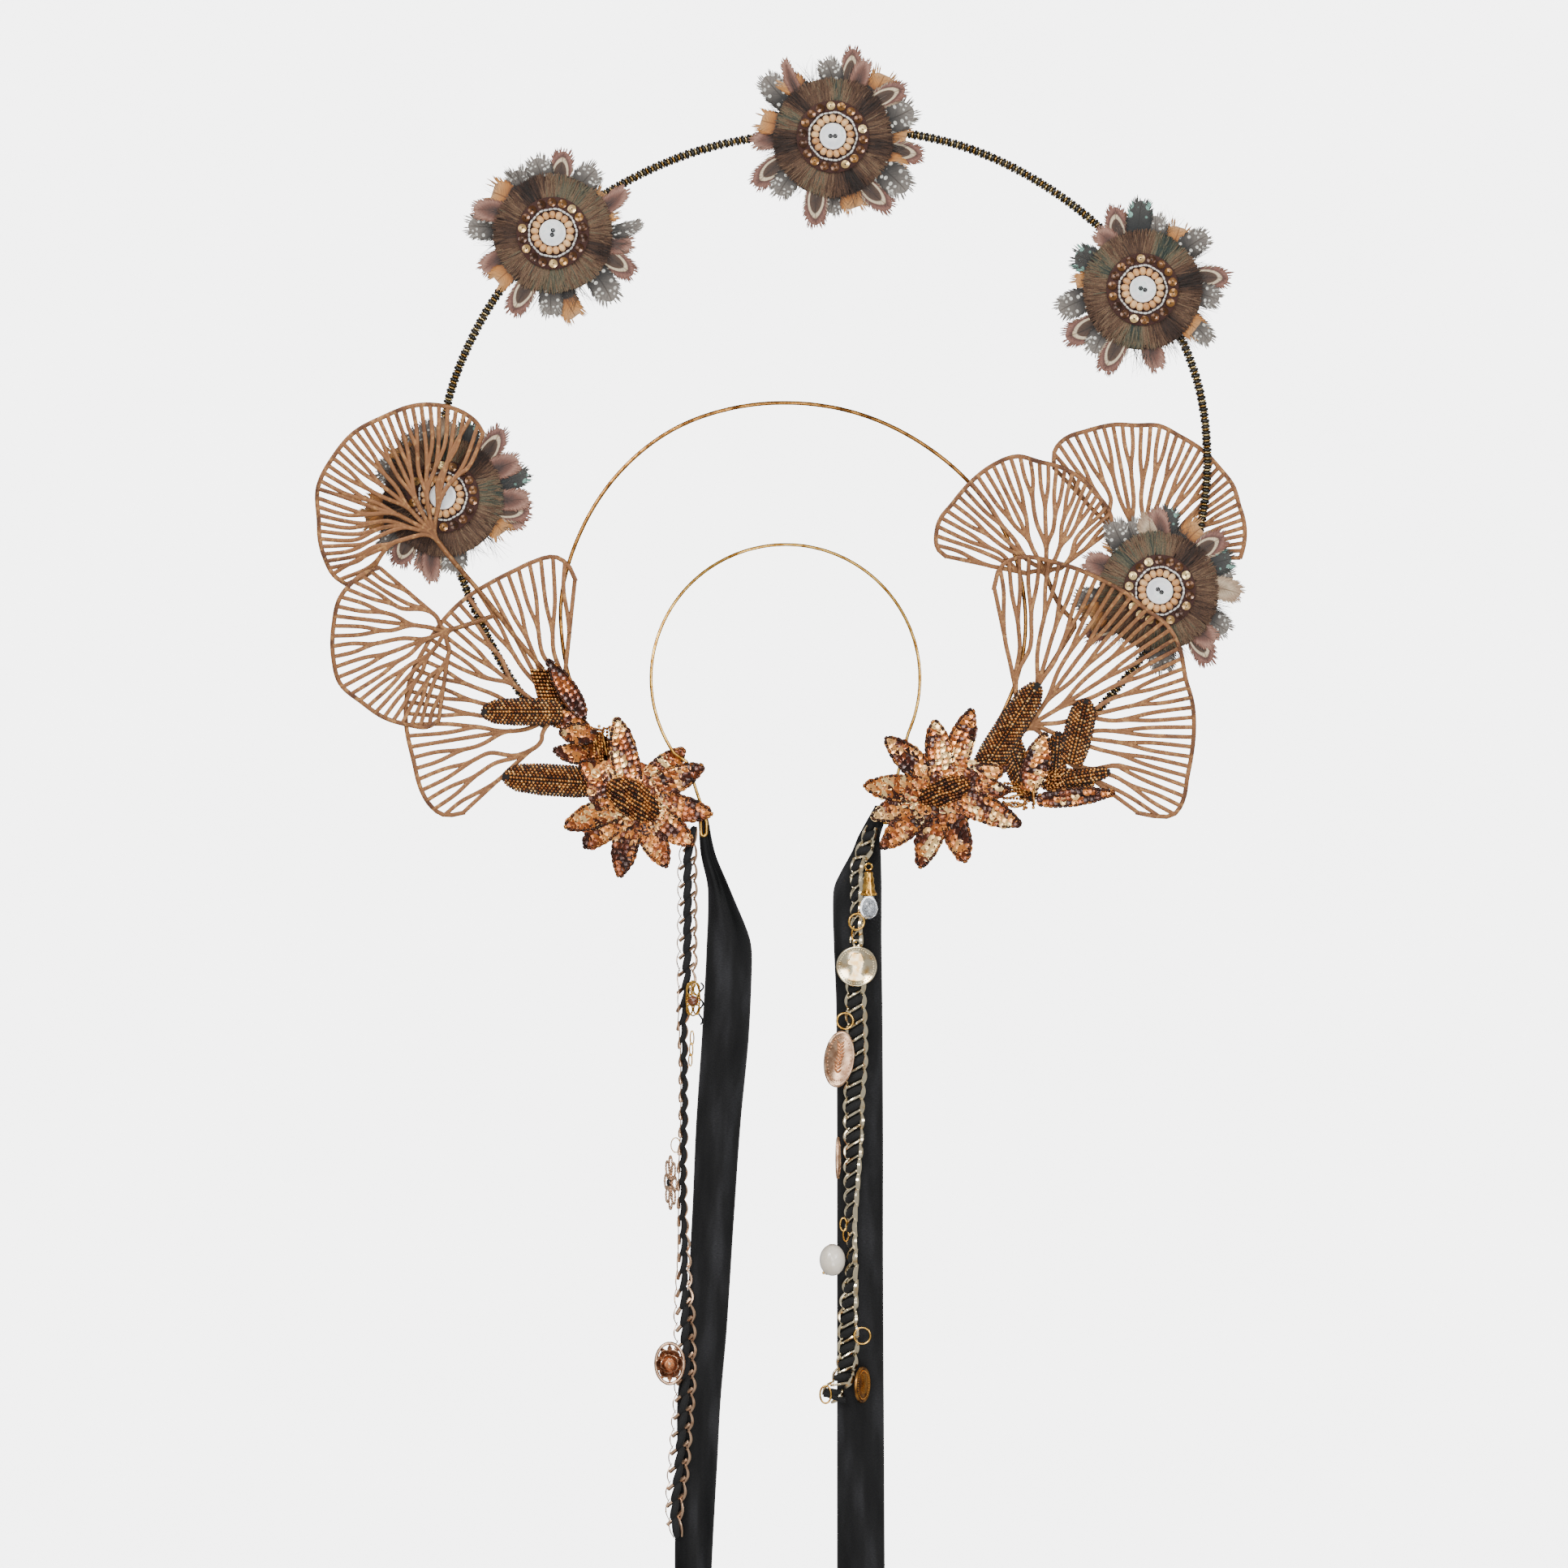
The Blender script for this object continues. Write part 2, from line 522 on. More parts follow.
def circle(centre, radius, count):
    """Return evenly spaced points around a centre."""
    return [around(centre, radius, 360.0 * index / count) for index in range(count)]


def spread(start, end, count):
    """Return evenly spaced values from start to end, with both."""
    return [start + (end - start) * index / (count - 1) for index in range(count)]


def add_object(name, mesh, group, finish):
    """Link a mesh to a collection with its material."""
    made = bpy.data.objects.new(name, mesh)
    made.data.materials.clear()
    made.data.materials.append(finish)
    group.objects.link(made)
    return made


def wire(name, points, diameter, group, finish):
    """Run a round wire through points given as (x, forward, z)."""
    curve = bpy.data.curves.new(name, "CURVE")
    curve.dimensions = "3D"
    curve.bevel_depth = diameter / 2
    curve.bevel_resolution = 2
    curve.use_fill_caps = True
    spline = curve.splines.new("POLY")
    spline.points.add(len(points) - 1)
    for knot, (x, forward, z) in zip(spline.points, points):
        knot.co = (x, -forward, z, 1.0)
    return add_object(name, curve, group, finish)


def evaluated_mesh(name, source):
    """Return a welded mesh of an object as the viewport shows it, and remove the object."""
    bpy.context.view_layer.update()
    shown = source.evaluated_get(bpy.context.evaluated_depsgraph_get())
    mesh = bpy.data.meshes.new_from_object(shown)
    mesh.name = name
    shape = bmesh.new()
    shape.from_mesh(mesh)
    bmesh.ops.remove_doubles(shape, verts=shape.verts, dist=WELD)
    shape.to_mesh(mesh)
    shape.free()
    mesh.transform(source.matrix_world)
    bpy.data.objects.remove(source, do_unlink=True)
    return mesh


def flat_mesh(name, outline, holes, thickness, group):
    """Return a sheet with holes that stands in the plane of the hoop, centred in its depth."""
    curve = bpy.data.curves.new(name, "CURVE")
    curve.dimensions = "2D"
    curve.fill_mode = "BOTH"
    curve.extrude = thickness / 2
    for ring in (outline, *holes):
        spline = curve.splines.new("POLY")
        spline.points.add(len(ring) - 1)
        spline.use_cyclic_u = True
        for knot, point in zip(spline.points, ring):
            knot.co = (point[0], point[1], 0.0, 1.0)
    drawn = bpy.data.objects.new(name, curve)
    group.objects.link(drawn)
    drawn.matrix_world = Matrix.Rotation(math.radians(90), 4, "X")
    return evaluated_mesh(name, drawn)


def plate(name, outline, holes, back, thickness, group, finish):
    """Make a flat piece whose back lies at a forward distance."""
    mesh = flat_mesh(name, outline, holes, thickness, group)
    mesh.transform(Matrix.Translation((0.0, -(back + thickness / 2), 0.0)))
    return add_object(name, mesh, group, finish)


def loft_mesh(name, rings):
    """Return a closed skin over rings of points with equal counts; a ring of one point closes an end."""
    shape = bmesh.new()
    made = [[shape.verts.new(point) for point in ring] for ring in rings]
    for near, far in zip(made, made[1:]):
        count = max(len(near), len(far))
        for index in range(count):
            corners = [near[index % len(near)], near[(index + 1) % len(near)]]
            corners += [far[(index + 1) % len(far)], far[index % len(far)]]
            shape.faces.new(list(dict.fromkeys(corners)))
    for ring in (made[0], made[-1]):
        if len(ring) > 1:
            shape.faces.new(ring)
    bmesh.ops.recalc_face_normals(shape, faces=shape.faces)
    mesh = bpy.data.meshes.new(name)
    shape.to_mesh(mesh)
    shape.free()
    return mesh


def turned_mesh(name, profile, steps, group):
    """Return a turned shape. Its profile is (radius, height) from the top of the outer side to the bottom."""
    mesh = bpy.data.meshes.new(name)
    points = [(radius, 0.0, height) for radius, height in profile]
    mesh.from_pydata(points, [(index, index + 1) for index in range(len(points) - 1)], [])
    source = bpy.data.objects.new(name, mesh)
    group.objects.link(source)
    screw = source.modifiers.new("Turn", "SCREW")
    screw.steps = steps
    screw.render_steps = steps
    screw.use_merge_vertices = True
    screw.merge_threshold = WELD
    screw.use_smooth_shade = False
    turned = evaluated_mesh(name, source)
    shape = bmesh.new()
    shape.from_mesh(turned)
    bmesh.ops.recalc_face_normals(shape, faces=shape.faces)
    shape.to_mesh(turned)
    shape.free()
    return shade_round(turned)


def shade_round(mesh):
    """Shade a mesh smooth apart from its sharp edges."""
    mesh.shade_smooth()
    mesh.set_sharp_from_angle(angle=SHARP_ANGLE)
    return mesh


def torus_mesh(name, diameter, wire_diameter, steps):
    """Return a ring that faces the viewer, centred at the origin."""
    bpy.ops.mesh.primitive_torus_add(
        major_radius=(diameter - wire_diameter) / 2, minor_radius=wire_diameter / 2,
        major_segments=steps, minor_segments=WIRE_SIDES, rotation=(math.radians(90), 0.0, 0.0),
    )
    return shade_round(evaluated_mesh(name, bpy.context.object))


def join_by_union(name, meshes, group, finish):
    """Return one solid made of overlapping meshes."""
    body = add_object(name, meshes[0], group, finish)
    for index, mesh in enumerate(meshes[1:]):
        tool = add_object(f"{name}_tool_{index}", mesh, group, finish)
        union = body.modifiers.new("Union", "BOOLEAN")
        union.operation = "UNION"
        union.solver = "EXACT"
        union.object = tool
        joined = evaluated_mesh(name, body)
        bpy.data.objects.remove(tool, do_unlink=True)
        body = add_object(name, joined, group, finish)
    return body


def stand(mesh, x, forward, z, turn_deg=0.0, lean_deg=0.0):
    """Turn a mesh about its upright axis, lean it in the plane of the hoop and move it to its place."""
    mesh.transform(Matrix.Rotation(math.radians(turn_deg), 4, "Z"))
    mesh.transform(Matrix.Rotation(math.radians(lean_deg), 4, "Y"))
    mesh.transform(Matrix.Translation((x, -forward, z)))
    return mesh


def halo_point(degrees, inset=0.0):
    """Return x and z on the outer hoop, moved inwards by the inset."""
    radius = HALO_RADIUS * read_rows(HALO_SHAPE, degrees) - inset
    return around((HALO_CENTRE_X, HALO_CENTRE_Z), radius, degrees)


def build_hoops(group, black, gold):
    """Build the beaded outer hoop and the inner ring."""
    route = [halo_point(angle) for angle in spread(HALO_SHAPE[0][0], HALO_SHAPE[-1][0], HALO_SEGMENTS)]
    wire("halo_hoop", [(x, 0.0, z) for x, z in route], HALO_TUBE, group, black)
    centre = (RING_CENTRE_X, -RING_CENTRE_DROP)
    angles = spread(RING_SHAPE[0][0], RING_SHAPE[-1][0], RING_SEGMENTS)
    ring = [around(centre, RING_RADIUS * read_rows(RING_SHAPE, angle), angle) for angle in angles]
    wire("inner_ring", [(x, RING_LAYER, z) for x, z in ring], RING_WIRE, group, gold)


def hairpin(place, side):
    """Return the points of a hairpin, from the wire that comes down to it round to its free end."""
    x, z = halo_spot(place)
    half = HAIRPIN_WIDTH / 2
    return [
        (x + side * half, HAIRPIN_LAYER, z + HAIRPIN_LENGTH),
        (x + side * half, HAIRPIN_LAYER, z + half * HAIRPIN_ROUNDING),
        (x, HAIRPIN_LAYER, z),
        (x - side * half, HAIRPIN_LAYER, z + half * HAIRPIN_ROUNDING),
        (x - side * half, HAIRPIN_LAYER, z + HAIRPIN_LENGTH),
    ]


def build_headband(group, gold):
    """Build the headband: over the head, past one petal of the left flower, down to a hairpin at each end."""
    centre = (0.0, HEADBAND_WIRE / 2 - HEADBAND_RADIUS)
    arc = []
    for angle in spread(HEADBAND_LEFT_DEG, HEADBAND_RIGHT_DEG, HEADBAND_SEGMENTS):
        x, z = around(centre, HEADBAND_RADIUS, angle)
        left = smooth_share((angle - LEFT_RISE[0]) / (LEFT_RISE[1] - LEFT_RISE[0])) * OVER_PETAL_LAYER
        right = smooth_share((angle - RIGHT_RISE[0]) / (RIGHT_RISE[1] - RIGHT_RISE[0])) * BEHIND_FLOWER_LAYER
        arc.append((x, left + right, z))
    flower = halo_spot(SEQUIN_FLOWERS[0].centre)
    above = around(flower, NOTCH_REACH, NOTCH_DEG + NOTCH_SLANT_DEG)
    below = around(flower, NOTCH_REACH, NOTCH_DEG - NOTCH_SLANT_DEG)
    dive = [(*below, THIRD_BACK - HEADBAND_WIRE), (*above, OVER_PETAL_LAYER)]
    dive = [(x, forward, z) for x, z, forward in dive]
    left = hairpin(LEFT_HAIRPIN, 1)
    right = hairpin(RIGHT_HAIRPIN, 1)
    wire("headband", [*reversed(left), *dive, *arc, *right], HEADBAND_WIRE, group, gold)


def build_feather_flower(flower, group, finishes):
    """Build one flower: feathers in locks round a backing, a sequin disc, wooden beads and a button."""
    x, z = halo_point(flower.hoop_deg, flower.inset)
    chance = random.Random(flower.seed)
    lengths = [chance.uniform(SHORTEST_LOCK, 1.0) for _ in range(FEATHER_LOCKS)]
    count = FEATHER_LOCKS * LOCK_SAMPLES
    angles = [360.0 * index / count for index in range(count)]
    rim = []
    for index in range(count):
        notch = LOCK_NOTCH if index % LOCK_SAMPLES == 0 else 1.0
        rim.append(flower.reach * lengths[index // LOCK_SAMPLES] * notch)

    def ring(radii, height):
        points = [around((x, z), radius, angle) for radius, angle in zip(radii, angles)]
        return [(point[0], -(FEATHER_BACK + height), point[1]) for point in points]

    rings = [
        [(x, -FEATHER_BACK, z)],
        ring([radius * BACK_SHARE for radius in rim], 0.0),
        ring(rim, FEATHER_EDGE),
        ring([MEDALLION_RADIUS] * count, FEATHER_DEPTH),
        [(x, -(FEATHER_BACK + FEATHER_DEPTH), z)],
    ]
    add_object(f"{flower.name}_feathers", loft_mesh("feathers", rings), group, finishes["feather"])
    seat = FEATHER_BACK + FEATHER_DEPTH + SEAT_GAP
    disc = circle((x, z), MEDALLION_RADIUS, BUST_STEPS)
    name = f"{flower.name}_medallion"
    plate(name, disc, (), seat, MEDALLION_THICKNESS, group, finishes["copper"])
    outside = 2 * BEAD_RING_RADIUS + WOODEN_BEAD
    beads = torus_mesh("beads", outside, WOODEN_BEAD, RING_STEPS)
    stand(beads, x, BEAD_SEAT + WOODEN_BEAD / 2, z)
    add_object(f"{flower.name}_beads", beads, group, finishes["wood"])
    edge = circle((x, z), BUTTON_RADIUS, DISC_STEPS)
    eyes = []
    for side in (0.0, 180.0):
        eye = around((x, z), BUTTON_HOLE_PITCH / 2, BUTTON_HOLE_DEG + side)
        eyes.append(circle(eye, BUTTON_HOLE, HOLE_SIDES))
    plate(f"{flower.name}_button", edge, eyes, BEAD_SEAT, BUTTON_THICKNESS, group, finishes["button"])


class VeinTree:
    """The veins of a leaf: each runs from the base to the rim, and they part from one another on the way."""

    def __init__(self, leaf, count):
        self.leaf = leaf
        self.base = halo_spot(leaf.base)
        self.ends = spread(leaf.rim[0][0], leaf.rim[-1][0], count)
        self.chance = random.Random(leaf.seed)
        self.paths = [[(0.0, leaf.root_deg)] for _ in self.ends]
        self.parting = [0.0] * (count - 1)
        self.divide(0, count - 1, 0, 0.0)
        for path, end in zip(self.paths, self.ends):
            path.append((1.0, end))

    def flare(self, share):
        """Return how far the veins have spread to their final angle."""
        start, full = self.leaf.flare
        return min(1.0, start + (1.0 - start) * share / full)

    def divide(self, first, last, level, below):
        """Part the veins from first to last into groups at this level's share, then part each group."""
        if first == last or level == len(BRANCHING):
            return
        parts, usual = BRANCHING[level]
        share = usual
        if level > 0:
            outer = first == 0 or last == len(self.ends) - 1
            early = OUTER_EARLIER if outer and level == 1 else 0.0
            varied = usual - early + self.chance.uniform(-BRANCH_VARIATION, BRANCH_VARIATION)
            share = max(varied, below + LEAST_BRANCH)
            for at in (TRUNK_SHARE, share) if level == 1 else (share,):
                angle = self.leaf.root_deg + (self.heading(first, last) - self.leaf.root_deg) * self.flare(at)
                for path in self.paths[first:last + 1]:
                    path.append((at, angle))
        size = last - first + 1
        cuts = [first + round(size * part / parts) for part in range(parts + 1)]
        for near, far in zip(cuts, cuts[1:]):
            if near > first:
                self.parting[near - 1] = share
            self.divide(near, far - 1, level + 1, share)

    def heading(self, first, last):
        """Return the angle a group of veins runs at: the leaf's own edge for the outermost groups."""
        if first == 0:
            return self.ends[0]
        if last == len(self.ends) - 1:
            return self.ends[-1]
        return (self.ends[first] + self.ends[last]) / 2

    def point(self, index, share):
        """Return x and z on a vein at a share of the way to the rim."""
        path = self.paths[index]
        angle = path[-1][1]
        for start, end in zip(path, path[1:]):
            if share <= end[0]:
                angle = start[1] + (end[1] - start[1]) * (share - start[0]) / (end[0] - start[0])
                break
        radius = self.leaf.reach * read_rows(self.leaf.rim, angle)
        return around(self.base, radius * share, angle)

    def edge(self, index, share, side, width):
        """Return a point on one side of a vein: side 1 is the one with the larger angle."""
        ahead = self.point(index, min(share + TANGENT_STEP, 1.0))
        run = ahead - self.point(index, max(share - TANGENT_STEP, 0.0))
        across = Vector((-run[1], run[0])).normalized()
        return self.point(index, share) + across * side * width / 2

    def gaps(self):
        """Return the outline of each opening between two neighbouring veins."""
        outlines = []
        for index in range(len(self.ends) - 1):
            top = 1.0 - LEAF_RIM / (self.leaf.reach * read_rows(self.leaf.rim, self.ends[index]))
            share = max(self.parting[index], VEIN_SHARES[0])
            while share < top:
                low = self.edge(index, share, 1, LEAF_VEIN)
                high = self.edge(index + 1, share, -1, LEAF_VEIN)
                here = self.point(index, share) - self.base
                across = Vector((-here[1], here[0])).normalized()
                if (high - low).dot(across) > SMALLEST_GAP:
                    break
                share += SEARCH_STEP
            if share > top - SHORTEST_GAP:
                continue
            near, far = share + BRANCH_VARIATION, top - BRANCH_VARIATION
            shares = [*(at for at in VEIN_SHARES if near < at < far), top]
            lower = [self.edge(index, at, 1, LEAF_VEIN) for at in shares]
            upper = [self.edge(index + 1, at, -1, LEAF_VEIN) for at in reversed(shares)]
            outlines.append([(low + high) / 2, *lower, *upper])
        return outlines

    def outline(self):
        """Return the outer edge of the leaf with its stem."""
        last = len(self.ends) - 1
        points = [self.edge(0, share, -1, LEAF_VEIN) for share in VEIN_SHARES]
        for angle in spread(self.ends[0], self.ends[-1], RIM_COUNT):
            points.append(around(self.base, self.leaf.reach * read_rows(self.leaf.rim, angle), angle))
        points += [self.edge(last, share, 1, LEAF_VEIN) for share in reversed(VEIN_SHARES)]
        if not self.leaf.stem:
            return points
        route = [self.base, *(halo_spot(place) for place in self.leaf.stem)]
        near, far = [], []
        for index, spot in enumerate(route):
            before = route[max(index - 1, 0)]
            after = route[min(index + 1, len(route) - 1)]
            run = (after - before).normalized()
            shift = Vector((run[1], -run[0])) * LEAF_STEM / 2
            lead = run * LEAF_STEM / 2 if index == 0 else Vector((0.0, 0.0))
            near.append(spot + lead + shift)
            far.append(spot + lead - shift)
        return points + near + far[::-1]


def leaf_forward(leaf, x, z):
    """Return how far forward a leaf lies at a place."""
    base = halo_spot(leaf.base)
    away = Vector((x, z)) - base
    forward = leaf.layer
    for bend in leaf.bends:
        facing = around((0.0, 0.0), 1.0, bend.toward_deg)
        forward += bend.slope * ramp(away.dot(facing) - bend.start, BEND_SOFTNESS)
    forward += leaf.rise * max(0.0, 1.0 - away.length / RISE_REACH)
    return min(max(forward, leaf.least), leaf.most)


def build_leaf(leaf, group, finish):
    """Build one pierced leaf and bend it to its place."""
    tree = VeinTree(leaf, VEIN_COUNT)
    mesh = flat_mesh(leaf.name, tree.outline(), tree.gaps(), LEAF_THICKNESS, group)
    for vertex in mesh.vertices:
        x, local, z = vertex.co
        vertex.co = (x, local - leaf_forward(leaf, x, z), z)
    add_object(leaf.name, mesh, group, finish)


def petal_outline(flower):
    """Return the outline of a sequin flower: a valley, a shoulder, a tip and a shoulder for each petal."""
    centre = halo_spot(flower.centre)
    petals = flower.petals
    points = []
    for index, (degrees, length) in enumerate(petals):
        before = petals[index - 1][0] - (360.0 if index == 0 else 0.0)
        after = petals[(index + 1) % len(petals)][0] + (360.0 if index == len(petals) - 1 else 0.0)
        left = [(-1, share, half) for share, half in PETAL_SIDE]
        right = [(1, share, half) for share, half in reversed(PETAL_SIDE)]
        for side, share, half in (*left, (0, 1.0, 0.0), *right):
            apart = math.radians(degrees - before if side < 0 else after - degrees)
            room = math.tan(min(apart, WIDEST_PARTING) / 2) * length * share * PETAL_ROOM
            across = side * min(PETAL_WIDTH / 2 * half, room)
            along = around((0.0, 0.0), length * share, degrees)
            turned = around((0.0, 0.0), across, degrees + 90.0)
            points.append(centre + along + turned)
        apart = math.radians(after - degrees)
        valley = PETAL_WIDTH / 2 / math.tan(min(apart, WIDEST_PARTING) / 2)
        valley = min(max(valley, FLOWER_CORE_RADIUS), length * DEEPEST_VALLEY)
        points.append(around(centre, valley, (degrees + after) / 2))
    return points


def build_sequin_flower(flower, group, finish):
    """Build a sequin flower with the raised oval of beads in its middle."""
    centre = halo_spot(flower.centre)
    body = flat_mesh("petals", petal_outline(flower), (), SEQUIN_THICKNESS, group)
    body.transform(Matrix.Translation((0.0, -(flower.back + SEQUIN_THICKNESS / 2), 0.0)))
    lean = Matrix.Rotation(math.radians(flower.oval_deg), 2)
    oval = []
    for local in circle((0.0, 0.0), 0.5, DISC_STEPS):
        oval.append(centre + lean @ Vector((local[0] * flower.oval[0], local[1] * flower.oval[1])))
    overlap = SEQUIN_THICKNESS / 2
    raised = flat_mesh("oval", oval, (), CENTRE_THICKNESS + overlap, group)
    middle = flower.back + SEQUIN_THICKNESS - overlap + (CENTRE_THICKNESS + overlap) / 2
    raised.transform(Matrix.Translation((0.0, -middle, 0.0)))
    join_by_union(flower.name, [body, raised], group, finish)


def build_blade(blade, group, finish):
    """Build a finger, sepal, bud or fringe as a flat piece with a rounded or pointed tip."""
    root, tip = halo_spot(blade.root), halo_spot(blade.tip)
    run = tip - root
    across = Vector((-run[1], run[0])).normalized() * blade.width / 2
    right = [root + run * share - across * half for share, half in blade.shape]
    left = [root + run * share + across * half for share, half in reversed(blade.shape)]
    thickness = blade.layers * BEADWORK_LAYER + (blade.layers - 1) * SEAT_GAP
    plate(blade.name, right + left, (), blade.back, thickness, group, finish)


def build_ribbon(name, place, rows, drop, group, finish):
    """Build a ribbon as an open strip with a thickness."""
    x, z = halo_spot(place)
    top = z + HAIRPIN_LENGTH + HEADBAND_WIRE
    shape = bmesh.new()
    grid = []
    for share, left, right in rows:
        level = []
        for part in spread(left, right, RIBBON_COLUMNS):
            level.append(shape.verts.new((x + part * RIBBON_WIDTH, -RIBBON_LAYER, top - share * drop)))
        grid.append(level)
    for upper, lower in zip(grid, grid[1:]):
        for index in range(RIBBON_COLUMNS - 1):
            shape.faces.new((upper[index], lower[index], lower[index + 1], upper[index + 1]))
    mesh = bpy.data.meshes.new(name)
    shape.to_mesh(mesh)
    shape.free()
    ribbon = add_object(name, mesh, group, finish)
    solid = ribbon.modifiers.new("Thickness", "SOLIDIFY")
    solid.thickness = RIBBON_THICKNESS
    solid.offset = 0.0


class Chain(NamedTuple):
    """A chain that hangs in front of a ribbon: where it starts, its route and its width."""

    name: str
    start: Vector
    route: tuple
    width: float

    def reach(self, share, turn):
        """Return how far the turned chain reaches forward or back from its middle."""
        angle = math.radians(turn)
        return self.width * share / 2 * abs(math.sin(angle)) + CHAIN_THICKNESS / 2 * math.cos(angle)

    def at(self, drop):
        """Return x, z and the forward distance of the chain's front at a distance down."""
        side = read_rows(self.route, drop)
        share = read_rows(self.route, drop, 2)
        turn = read_rows(self.route, drop, 3)
        front = RIBBON_FRONT + SEAT_GAP + 2 * self.reach(share, turn)
        return self.start[0] + side, self.start[1] - drop, front

    def section(self, drop, parts):
        """Return points around the band at a distance down, as (sideways, forward, z), in order."""
        x, z, front = self.at(drop)
        step = self.route[-1].drop / CHAIN_ROWS
        before, after = self.at(max(drop - step, 0.0)), self.at(min(drop + step, self.route[-1].drop))
        run = Vector((after[0] - before[0], after[1] - before[1])).normalized()
        share = read_rows(self.route, drop, 2)
        turn = read_rows(self.route, drop, 3)
        angle = math.radians(turn)
        middle = front - self.reach(share, turn)
        half = self.width * share / 2
        edge = [(along, -CHAIN_THICKNESS / 2) for along in spread(-half, half, parts)]
        edge += [(along, CHAIN_THICKNESS / 2) for along in spread(half, -half, parts)]
        points = []
        for along, through in edge:
            out = along * math.cos(angle) - through * math.sin(angle)
            forward = middle + along * math.sin(angle) + through * math.cos(angle)
            points.append((x - run[1] * out, forward, z + run[0] * out))
        return points

    def seat(self, hung, width, height):
        """Return x, z and the forward distance that clears the chain for an oval charm hung at a place."""
        drop, side = hung
        x, z, _ = self.at(drop)
        place = x + side
        fronts = [RIBBON_FRONT]
        for at in spread(drop - height / 2, drop + height / 2, SEAT_ROWS):
            for spot in self.section(at, SEAT_PARTS):
                apart = (spot[0] - place) / (width / 2 + CHARM_GAP)
                along = (at - drop) / (height / 2 + CHARM_GAP)
                if apart * apart + along * along <= 1.0:
                    fronts.append(spot[1])
        return place, z, max(fronts) + CHARM_GAP


def chain_of(name, hairpin_place, offset, route, width):
    """Return a chain that starts beside a hairpin."""
    return Chain(name, halo_spot(hairpin_place) + Vector(offset), route, width)


def build_chain(chain, group, finish):
    """Build a chain and its woven cord as one band that turns as it hangs."""
    rings = []
    for drop in spread(0.0, chain.route[-1].drop, CHAIN_ROWS):
        rings.append([(x, -forward, z) for x, forward, z in chain.section(drop, 2)])
    add_object(chain.name, loft_mesh(chain.name, rings), group, finish)


def oval_profile(thickness, relief):
    """Return a disc's profile of radius 1 with a raised rim and a raised middle."""
    half = thickness / 2
    return (
        (0.0, half + relief), (0.50, half), (0.82, half), (0.88, half + relief),
        (1.0, half + relief * 0.6), (1.0, -half), (0.0, -half),
    )


def disc_mesh(name, width, height, thickness, relief, group):
    """Return an oval medallion that faces the viewer."""
    mesh = turned_mesh(name, oval_profile(thickness, relief), MEDALLION_STEPS, group)
    mesh.transform(Matrix.Diagonal((width / 2, height / 2, 1.0, 1.0)))
    mesh.transform(Matrix.Rotation(math.radians(90), 4, "X"))
    return mesh


def coin_parts(group):
    """Return the meshes of a coin: a disc with a raised rim, a plain raised head and a loop at its top."""
    radius = COIN_DIAMETER / 2
    half = COIN_THICKNESS / 2
    profile = (
        (0.0, half), (radius * 0.86, half), (radius * 0.9, half + COIN_RELIEF),
        (radius, half + COIN_RELIEF / 2), (radius, -half), (0.0, -half),
    )
    body = turned_mesh("coin", profile, BUST_STEPS, group)
    body.transform(Matrix.Rotation(math.radians(90), 4, "X"))
    bust = [(x * radius, z * radius) for x, z in HEAD_SHAPE]
    relief = flat_mesh("bust", bust, (), COIN_RELIEF * 2, group)
    relief.transform(Matrix.Translation((0.0, -half, 0.0)))
    loop = torus_mesh("loop", COIN_LOOP, JUMP_RING_WIRE, LOOP_STEPS)
    loop.transform(Matrix.Translation((0.0, 0.0, radius + COIN_LOOP / 2 - LOOP_OVERLAP)))
    return [body, relief, loop]


